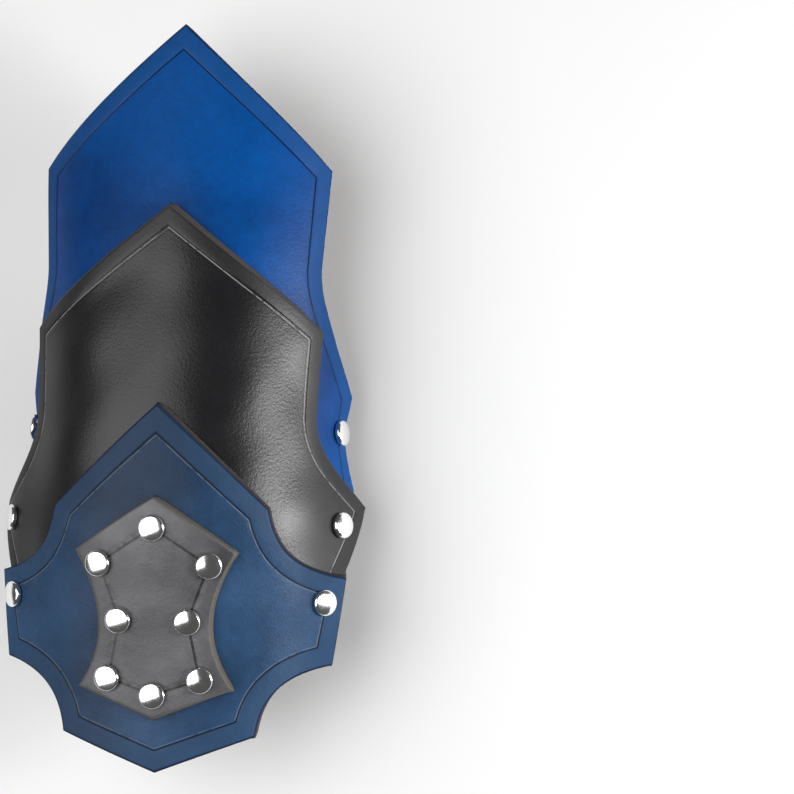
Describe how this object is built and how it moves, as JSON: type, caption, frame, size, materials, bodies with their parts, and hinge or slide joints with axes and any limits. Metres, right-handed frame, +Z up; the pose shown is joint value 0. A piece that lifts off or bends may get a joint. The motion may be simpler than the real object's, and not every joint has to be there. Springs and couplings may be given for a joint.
{
  "type": "leather vambrace",
  "caption": "Forearm guard of overlapping riveted leather plates with a studded patch, closed under the arm by buckled straps.",
  "frame": {"origin": "under the middle of the piece, on the surface that it lies on", "axes": "+X across the arm, +Y along the arm towards the elbow, +Z up, out of the crown of the plates"},
  "size_m": [0.1416, 0.285, 0.0828],
  "materials": {
    "blue_leather": "satin, hand dyed saturated blue",
    "black_leather": "satin, black",
    "navy_leather": "satin, greyed navy",
    "patch_leather": "satin, dark grey with raw tan edges",
    "strap_leather": "satin, black",
    "chrome": "polished nickel or chrome plate"
  },
  "bodies": {
    "root": {"upper_plate": "blue_leather", "middle_plate": "black_leather", "lower_plate": "navy_leather", "stud_patch": "patch_leather", "patch_stud_1": "chrome", "patch_stud_2": "chrome", "patch_stud_3": "chrome", "patch_stud_4": "chrome", "patch_stud_5": "chrome", "patch_stud_6": "chrome", "patch_stud_7": "chrome", "patch_stud_8": "chrome", "upper_rivet_left": "chrome", "upper_rivet_right": "chrome", "middle_rivet_left": "chrome", "middle_rivet_right": "chrome", "lower_rivet_left": "chrome", "lower_rivet_right": "chrome", "upper_strap_holed": "strap_leather", "upper_strap_plain": "strap_leather", "upper_strap_rivet": "chrome", "upper_buckle_frame": "chrome", "upper_buckle_roller": "chrome", "upper_buckle_prong": "chrome", "middle_strap_holed": "strap_leather", "middle_strap_plain": "strap_leather", "middle_strap_rivet": "chrome", "middle_buckle_frame": "chrome", "middle_buckle_roller": "chrome", "middle_buckle_prong": "chrome"}
  },
  "joints": []
}
